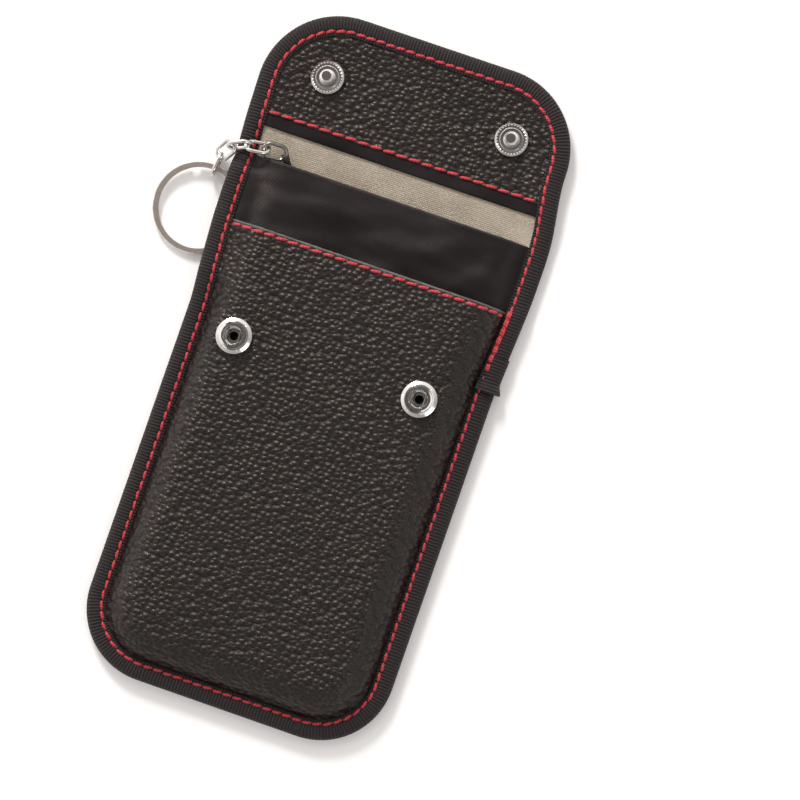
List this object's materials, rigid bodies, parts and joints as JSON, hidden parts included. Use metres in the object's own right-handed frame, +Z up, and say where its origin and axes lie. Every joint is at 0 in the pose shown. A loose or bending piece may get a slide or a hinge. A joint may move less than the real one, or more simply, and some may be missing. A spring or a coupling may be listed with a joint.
{
  "type": "signal-blocking key pouch",
  "caption": "Soft leather key pouch with a shielding cloth pocket, a snap flap, taped edges and a short chain with a split ring.",
  "frame": {"origin": "centre of the pouch's flat back where it rests, halfway between its bottom edge and the end of the open flap", "axes": "+X across the pouch to the right, +Y from the pocket to the open flap's end, +Z up from the back to the front panel"},
  "size_m": [0.1057, 0.1868, 0.0138],
  "materials": {
    "black_leather": "pebbled, satin gloss",
    "black_satin": "plain satin lining",
    "shielding_cloth": "fine metallised weave",
    "ribbed_tape": "ribbed binding tape",
    "chrome": "polished nickel plate",
    "dark_nickel": "dark nickel plate"
  },
  "bodies": {
    "pouch": {"back_panel": "black_leather", "back_shield": "shielding_cloth", "divider_shield": "shielding_cloth", "divider_satin": "black_satin", "front_lining": "black_satin", "front_panel": "black_leather", "body_binding": "ribbed_tape", "binding_lap": "ribbed_tape", "socket_left": "chrome", "socket_right": "chrome", "socket_spring_left": "dark_nickel", "socket_spring_right": "dark_nickel", "socket_post_left": "chrome", "socket_post_right": "chrome", "back_fold": "black_leather", "shield_fold": "shielding_cloth", "divider_fold": "black_satin", "binding_fold_left": "ribbed_tape", "binding_fold_right": "ribbed_tape"},
    "flap": {"flap_outer": "black_leather", "flap_shield": "shielding_cloth", "mouth_lip": "black_satin", "flap_hem": "black_satin", "flap_patch": "black_leather", "flap_binding": "ribbed_tape", "stud_left": "chrome", "stud_right": "chrome", "stud_cap_left": "chrome", "stud_cap_right": "chrome", "chain_tab": "black_leather"},
    "link_1": {"chain_link_1": "dark_nickel"},
    "link_2": {"chain_link_2": "chrome"},
    "link_3": {"chain_link_3": "chrome"},
    "link_4": {"chain_link_4": "chrome"},
    "link_5": {"chain_link_5": "chrome"},
    "ring": {"split_ring": "chrome"}
  },
  "joints": [
    {"name": "flap_fold", "type": "hinge", "parent": "pouch", "child": "flap", "pos_m": [0, 0.0386, 0.0091], "axis": [1, 0, 0], "range_deg": [0, 180], "deforming": ["back_fold", "shield_fold", "divider_fold", "binding_fold_left", "binding_fold_right"]},
    {"name": "link_1_swing", "type": "hinge", "parent": "flap", "child": "link_1", "pos_m": [-0.031, 0.0518, 0.0037], "axis": [0, 0, -1], "range_deg": [0, 8]},
    {"name": "link_2_swing", "type": "hinge", "parent": "link_1", "child": "link_2", "pos_m": [-0.03635, 0.05187, 0.0054], "axis": [0, 0, -1], "range_deg": [0, 8]},
    {"name": "link_3_swing", "type": "hinge", "parent": "link_2", "child": "link_3", "pos_m": [-0.04102, 0.05112, 0.00632], "axis": [0, 0, -1], "range_deg": [0, 8]},
    {"name": "link_4_swing", "type": "hinge", "parent": "link_3", "child": "link_4", "pos_m": [-0.04503, 0.04945, 0.00547], "axis": [0, 0, -1], "range_deg": [0, 40]},
    {"name": "link_5_swing", "type": "hinge", "parent": "link_4", "child": "link_5", "pos_m": [-0.0473, 0.0462, 0.0034], "axis": [0, 0, -1], "range_deg": [0, 8]},
    {"name": "ring_swing", "type": "hinge", "parent": "link_5", "child": "ring", "pos_m": [-0.0479, 0.0432, 0.0021], "axis": [0, 0, -1], "range_deg": [0, 12]}
  ],
  "couplings": [
    {"joint": "link_4_swing", "follows": "flap_fold", "ratio": 0.22222}
  ]
}
